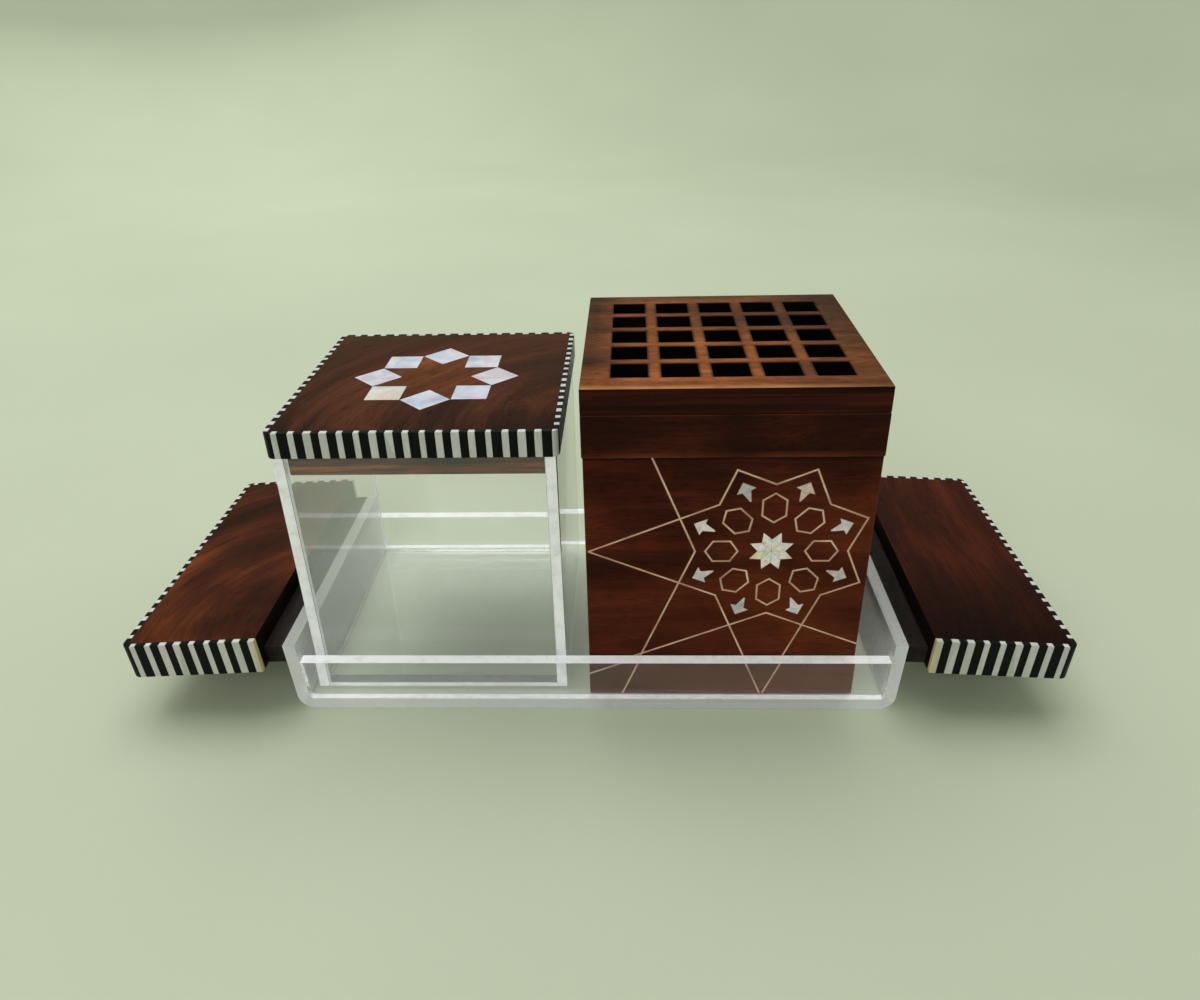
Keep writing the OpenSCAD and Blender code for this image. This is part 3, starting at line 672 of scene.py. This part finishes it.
def dress_box_lid():
    rail = wood("walnut_lid_rails", ALONG_X, RAIL_TONES, seed=3.0, figure=0.8, wear_and_highlight_colour=EDGE_WEAR_AND_HIGHLIGHT)
    foot_wear_and_highlight(rail)
    smoke_mark(rail)
    side_rail = wood("walnut_lid_side_rails", ALONG_Y, RAIL_TONES, seed=4.0, figure=0.8, wear_and_highlight_colour=EDGE_WEAR_AND_HIGHLIGHT)
    foot_wear_and_highlight(side_rail)
    for where, material in zip(SIDES, (rail, rail, side_rail, side_rail)):
        node = "box_lid_" + where + "_rail"
        dress(node, material)
        soften(node, WOOD_EDGE)
    dress("box_lid_grille_board", grille_wood())
    soften("box_lid_grille_board", GRILLE_EDGE)


# ---------- canister ----------

LID_TONES = (rgb(24, 9, 6), rgb(54, 23, 13), rgb(96, 50, 28))
STAR_TONES = (rgb(58, 26, 13), rgb(98, 50, 25), rgb(140, 82, 44))
PLUG_TONES = (rgb(18, 5, 1), rgb(76, 30, 6), rgb(148, 76, 26))
STAR_GRAIN = math.radians(-50)
LID_BOW = (20 * MM, -60 * MM)       # where the arcs of the lid's grain have their middle
BLUE_PEARL = (rgb(226, 227, 216), rgb(224, 226, 234), rgb(230, 228, 238), rgb(212, 218, 236),
              rgb(228, 224, 240))


def dress_canister():
    # All sides of the floor are glued to the walls, so it has no cut
    cuts = {"floor": None, "front_wall": across(1), "back_wall": across(1),
            "left_wall": across(0), "right_wall": across(0)}
    for sheet, cut in cuts.items():
        node = "canister_" + sheet
        dress(node, acrylic(node + "_acrylic", cut))
        part_faces(node)
        soften(node, SHEET_EDGE)


def canister_lid_wood():
    """Dark walnut, deeper in tone towards the front and browner towards the back: a painted sheen of the
    overhead light on the back and painted shade on the front.
    """
    m = wood("walnut_canister_lid", ALONG_Y, LID_TONES, seed=7.0, figure=1.1, cloud=1.4, bow=LID_BOW)
    low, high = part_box("canister_lid_board")
    back = m.along(1, low[1], high[1])
    # Painted sheen towards the back and painted shade towards the front
    m.recolour(m.math("MULTIPLY", back, 0.35), rgb(84, 44, 26))
    m.tint(m.map(back, 0.35, 0.0, 0, 0.8), rgb(212, 204, 204))
    return m


def plug_wood():
    """Strongly ringed walnut, darker towards its top, which the lid shades."""
    m = wood("walnut_plug", ALONG_X, PLUG_TONES, seed=9.0, figure=1.5, cloud=1.5, gloss=0.5)
    low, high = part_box("canister_lid_plug")
    rings = m.noise(m.mapped(m.place, (24, 60, 700)), detail=3, rough=0.6)
    m.recolour(m.map(rings, 0.5, 0.66, 0, 0.8), rgb(22, 8, 3))
    m.recolour(m.map(rings, 0.44, 0.3, 0, 0.6), rgb(190, 110, 48))
    m.tint(m.along(2, low[2] + 2 * MM, high[2] - 2 * MM), rgb(110, 96, 92))
    return m


def dress_canister_lid():
    dress("canister_lid_board", canister_lid_wood())
    dress("canister_lid_star_veneer", wood("star_veneer", STAR_GRAIN, STAR_TONES, seed=8.0))
    dress("canister_lid_pearl_squares", pearl("canister_lid_pearl_squares", TOP_FACE, offset=0.5,
                                              first=5.0, patch=70, tints=BLUE_PEARL))
    dress("canister_lid_plug", plug_wood())
    dress("canister_lid_bone_blocks", bone("bone_lid", seed=1.0))
    dress("canister_lid_ebony_blocks", ebony("ebony_lid", seed=1.0))
    for part in ("bone_blocks", "ebony_blocks", "plug"):
        soften("canister_lid_" + part, LID_EDGE)


# ---------- tray ----------

LEFT_HANDLE_TONES = (rgb(32, 12, 7), rgb(68, 28, 13), rgb(112, 56, 26))
RIGHT_HANDLE_TONES = (rgb(24, 8, 6), rgb(56, 18, 10), rgb(90, 36, 20))
TONGUE_TONES = (rgb(24, 20, 19), rgb(42, 37, 35), rgb(60, 53, 50))
LEFT_HANDLE_BOW = (-120 * MM, -70 * MM)
SHADE_STARTS = -10 * MM     # along Y, on the right handle
SHADE_ENDS = -75 * MM


def dress_tray():
    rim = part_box("tray_channel")[1][2]
    dress("tray_channel", acrylic("tray_channel_acrylic", bent_sheet(rim), haze=0.06, sheen=0.9,
                                  frost=0.42, glow=0.1, scuffs=end_walls))
    part_faces("tray_channel")
    for node in ("tray_front_strip", "tray_back_strip"):
        dress(node, acrylic(node + "_acrylic", top_edge, haze=0.01, frost=0.9, glow=0.26))
        part_faces(node)
        soften(node, STRIP_EDGE)


def left_handle_wood():
    """Walnut with grain that arcs round a point beside its front end."""
    return wood("walnut_handle_left", ALONG_Y, LEFT_HANDLE_TONES, seed=11.0, figure=0.8, cloud=2.2,
                bow=LEFT_HANDLE_BOW)


def right_handle_wood():
    """Redder walnut, darker towards its front end."""
    m = wood("walnut_handle_right", ALONG_Y, RIGHT_HANDLE_TONES, seed=12.0)
    m.tint(m.along(1, SHADE_STARTS, SHADE_ENDS), rgb(150, 120, 120))
    return m


def dress_handle(side, board, inward, seed):
    """A handle on its tongue: inward is the sign of the x axis on its side next to the tray."""
    # Black edge and painted shade: the faces next to the tray are darkened, partly as the board's black
    # edge and partly as the shade between the board and the tray
    dark_and_shaded_side = board.map(board.math("MULTIPLY", board.normal_axis(0), inward), 0.6, 0.9)
    board.recolour(dark_and_shaded_side, rgb(20, 13, 11))
    dress("handle_board_" + side, board)
    tongue = "handle_tongue_" + side
    dress(tongue, wood("ebonised_tongue_" + side, ALONG_Y, TONGUE_TONES, seed + 7))
    soften(tongue, WOOD_EDGE)
    bone_blocks = "handle_bone_blocks_" + side
    inner_edge = min(abs(corner[0]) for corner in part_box(bone_blocks))
    dress(bone_blocks, ivory_ends("bone_handle_" + side, seed, inner_edge))
    soften(bone_blocks, HANDLE_EDGE)
    ebony_blocks = "handle_ebony_blocks_" + side
    dress(ebony_blocks, ebony("ebony_handle_" + side, seed + 3))
    soften(ebony_blocks, HANDLE_EDGE)


# ---------- floor and light ----------

FLOOR_RADIUS = 1.5
COVE_RADIUS = 1.0
COVE_STEPS = 16
WALL_TOP = 2.2
ROUND_STEPS = 96
FLOOR_GAP = 0.3 * MM        # keeps the clear tray from sharing a face with the floor
FLOOR_COLOURS = (rgb(189, 197, 175), rgb(194, 202, 180))
SKY_COLOUR = (0.96, 1.0, 0.96, 1)
SKY_STRENGTH = 0.35
LIT_POINT = (0, 0, 0.08)    # the middle of the set, which every light faces


def floor_mesh():
    """A round floor that turns up into a low wall, so that no view sees an edge."""
    profile = [(0, 0)]
    for step in range(COVE_STEPS + 1):
        angle = math.radians(90) * step / COVE_STEPS
        profile.append((FLOOR_RADIUS + COVE_RADIUS * math.sin(angle), COVE_RADIUS * (1 - math.cos(angle))))
    profile.append((FLOOR_RADIUS + COVE_RADIUS, WALL_TOP))
    mesh = bpy.data.meshes.new("floor")
    shape = bmesh.new()
    points = [shape.verts.new((radius, 0, height)) for radius, height in profile]
    edges = [shape.edges.new(pair) for pair in zip(points, points[1:])]
    bmesh.ops.spin(shape, geom=points + edges, cent=(0, 0, 0), axis=(0, 0, 1), angle=math.radians(360),
                   steps=ROUND_STEPS, use_merge=True)
    bmesh.ops.remove_doubles(shape, verts=shape.verts, dist=0.1 * MM)
    bmesh.ops.recalc_face_normals(shape, faces=shape.faces)
    for face in shape.faces:
        face.smooth = True
    shape.to_mesh(mesh)
    shape.free()
    return mesh


def make_floor():
    mesh = floor_mesh()
    m = Material("pale_floor")
    tone = m.noise(m.place, scale=3, detail=2)
    dark, light = FLOOR_COLOURS
    m.shade(Base_Color=m.ramp(tone, (0.3, dark), (0.7, light)), Roughness=0.9, Specular_IOR_Level=0.1)
    mesh.materials.append(m.data)
    floor = bpy.data.objects.new("floor", mesh)
    floor.location = (0, 0, -FLOOR_GAP)
    bpy.context.scene.collection.objects.link(floor)


def area_light(name, at, size, power, colour, highlights=True):
    """A soft light that faces the set. Without highlights it isn't seen in gloss or glass."""
    data = bpy.data.lights.new(name, "AREA")
    data.shape = "RECTANGLE"
    data.size, data.size_y = size
    data.energy = power
    data.color = colour
    light = bpy.data.objects.new(name, data)
    light.location = at
    light.rotation_euler = (Vector(LIT_POINT) - Vector(at)).to_track_quat("-Z", "Y").to_euler()
    light.visible_glossy = highlights
    light.visible_transmission = highlights
    bpy.context.scene.collection.objects.link(light)


def make_light():
    world = bpy.data.worlds.new("studio")
    bpy.context.scene.world = world
    world.use_nodes = True
    sky = world.node_tree.nodes["Background"]
    sky.inputs["Color"].default_value = SKY_COLOUR
    sky.inputs["Strength"].default_value = SKY_STRENGTH
    area_light("overhead", at=(-0.3, 0.5, 2.3), size=(2.4, 2.0), power=40, colour=(1.0, 0.985, 0.965))
    area_light("front", at=(-0.7, -2.0, 1.3), size=(1.4, 1.0), power=12, colour=(1.0, 0.965, 1.0))
    area_light("behind", at=(-0.9, 1.7, 0.9), size=(1.2, 0.8), power=6, colour=(1.0, 0.99, 0.97),
               highlights=False)
    bpy.context.scene.view_settings.view_transform = "Standard"


make_camera()
dress_box()
dress_inlay()
dress_inside()
dress_box_lid()
dress_canister()
dress_canister_lid()
dress_tray()
dress_handle("left", left_handle_wood(), inward=1, seed=11.0)
dress_handle("right", right_handle_wood(), inward=-1, seed=12.0)
make_floor()
make_light()
